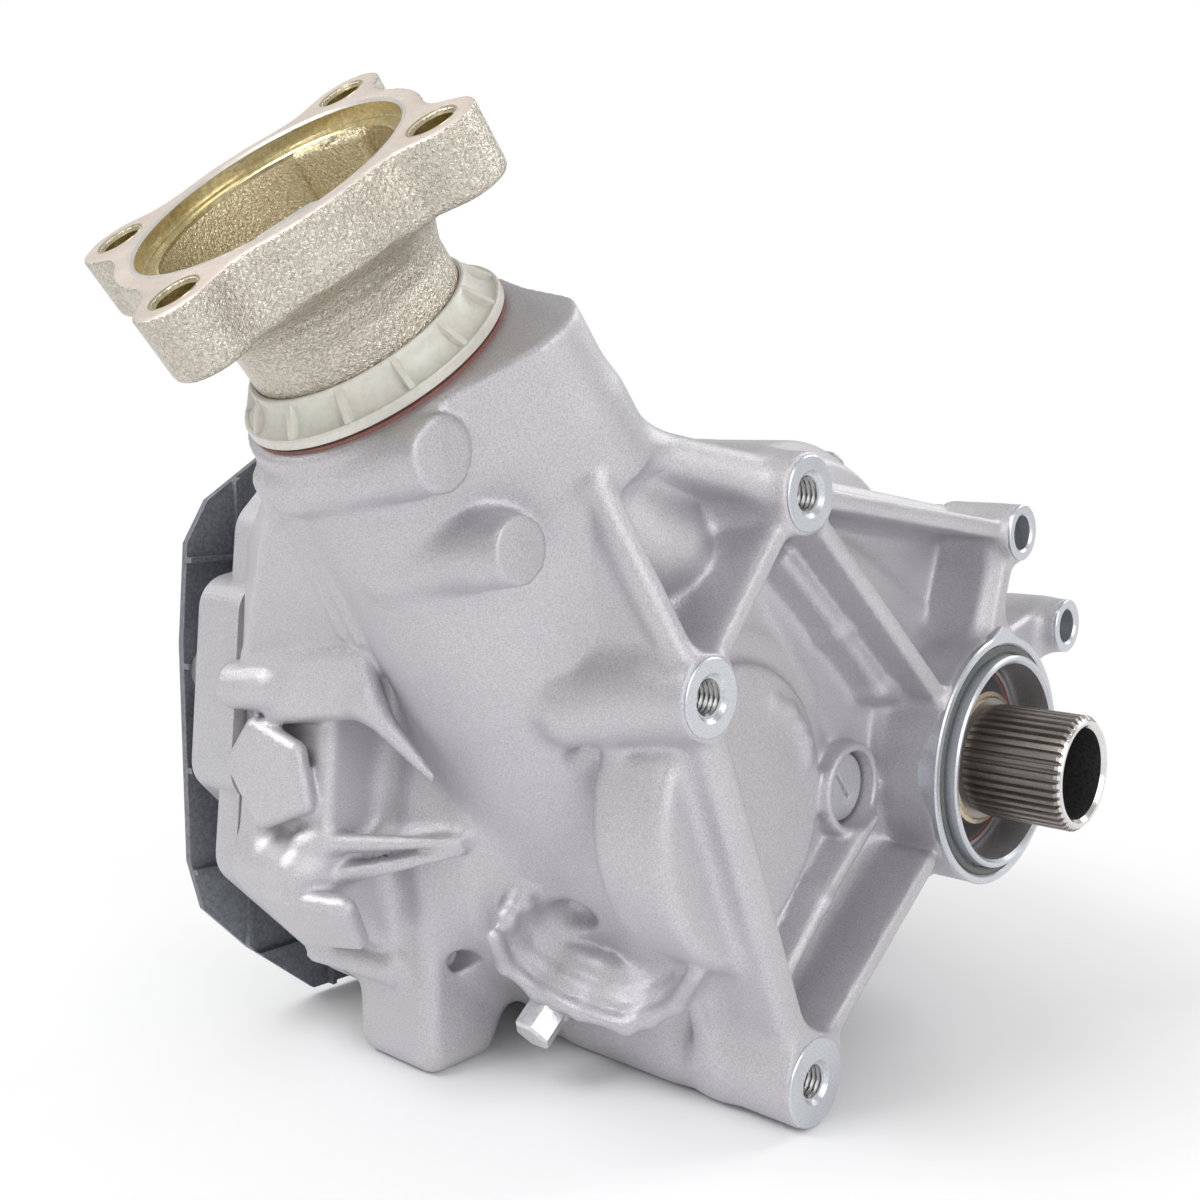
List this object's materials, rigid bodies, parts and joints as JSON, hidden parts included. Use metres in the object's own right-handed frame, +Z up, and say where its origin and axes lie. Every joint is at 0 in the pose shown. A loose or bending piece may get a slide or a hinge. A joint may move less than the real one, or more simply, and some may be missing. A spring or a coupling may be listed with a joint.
{
  "type": "transfer case",
  "caption": "Angle-drive transfer case: cast housing with a splined hollow input shaft, gear train, bevel pair and a four-eared output flange.",
  "frame": {"origin": "centre of the spigot on the mating face", "axes": "+X out along the input shaft towards the gearbox, +Z up as the case stands on its feet, output shaft 39 degrees back from upright towards -Y"},
  "size_m": [0.25, 0.3836, 0.3269],
  "materials": {
    "cast_case": "sand-cast, machined faces bright",
    "cast_cover": "sand-cast",
    "zinc_bolts": "zinc plated",
    "shield_coat": "dark coated sheet",
    "seal_rubber": "matt",
    "seal_case": "pressed steel with a rubber lip",
    "plug_steel": "zinc plated",
    "copper": "copper washer",
    "bearing_steel": "ground",
    "shaft_steel": "dark hardened, ground journal",
    "gear_steel": "hardened",
    "flange_zinc": "cast and zinc plated, machined face",
    "nylon": "natural nylon",
    "nut_steel": "zinc plated"
  },
  "bodies": {
    "housing": {"case": "cast_case", "case_cover": "cast_cover", "cover_bolts": "zinc_bolts", "cover_dowels": "bearing_steel", "heat_shield": "shield_coat", "shield_bolts": "zinc_bolts", "spigot_o_ring": "seal_rubber", "input_seal_right": "seal_case", "input_seal_left": "seal_case", "output_seal": "seal_case", "input_bearing_right_outer": "bearing_steel", "input_bearing_left_outer": "bearing_steel", "ring_bearing_right_cup": "bearing_steel", "ring_bearing_left_cup": "bearing_steel", "pinion_head_cup": "bearing_steel", "pinion_tail_cup": "bearing_steel", "level_plug": "plug_steel", "drain_plug": "plug_steel", "drain_washer": "copper", "breather": "plug_steel"},
    "input": {"input_shaft": "shaft_steel", "drive_gear": "gear_steel", "input_bearing_right_inner": "bearing_steel", "input_bearing_left_inner": "bearing_steel", "input_balls_right": "bearing_steel", "input_balls_left": "bearing_steel"},
    "ring": {"ring_gear_shaft": "shaft_steel", "driven_gear": "gear_steel", "ring_gear": "gear_steel", "ring_gear_bolts": "zinc_bolts", "ring_bearing_right_cone": "bearing_steel", "ring_bearing_left_cone": "bearing_steel", "ring_rollers_right": "bearing_steel", "ring_rollers_left": "bearing_steel"},
    "output": {"pinion_shaft": "gear_steel", "pinion_head_cone": "bearing_steel", "pinion_head_rollers": "bearing_steel", "pinion_shim": "gear_steel", "collapsible_spacer": "gear_steel", "pinion_tail_cone": "bearing_steel", "pinion_tail_rollers": "bearing_steel", "companion_flange": "flange_zinc", "dust_ring": "nylon", "pinion_washer": "nut_steel", "pinion_nut": "nut_steel"}
  },
  "joints": [
    {"name": "ring_shaft_spin", "type": "hinge", "parent": "housing", "child": "ring", "pos_m": [0, -0.10265, -0.00844], "axis": [1, 0, 0], "continuous": true},
    {"name": "input_spin", "type": "hinge", "parent": "housing", "child": "input", "pos_m": [0, 0, 0], "axis": [1, 0, 0], "continuous": true},
    {"name": "output_spin", "type": "hinge", "parent": "housing", "child": "output", "pos_m": [-0.082, -0.06613, -0.05355], "axis": [0, -0.6293, 0.7771], "continuous": true}
  ],
  "couplings": [
    {"joint": "input_spin", "follows": "ring_shaft_spin", "ratio": -0.90741},
    {"joint": "output_spin", "follows": "ring_shaft_spin", "ratio": 2.4667}
  ]
}
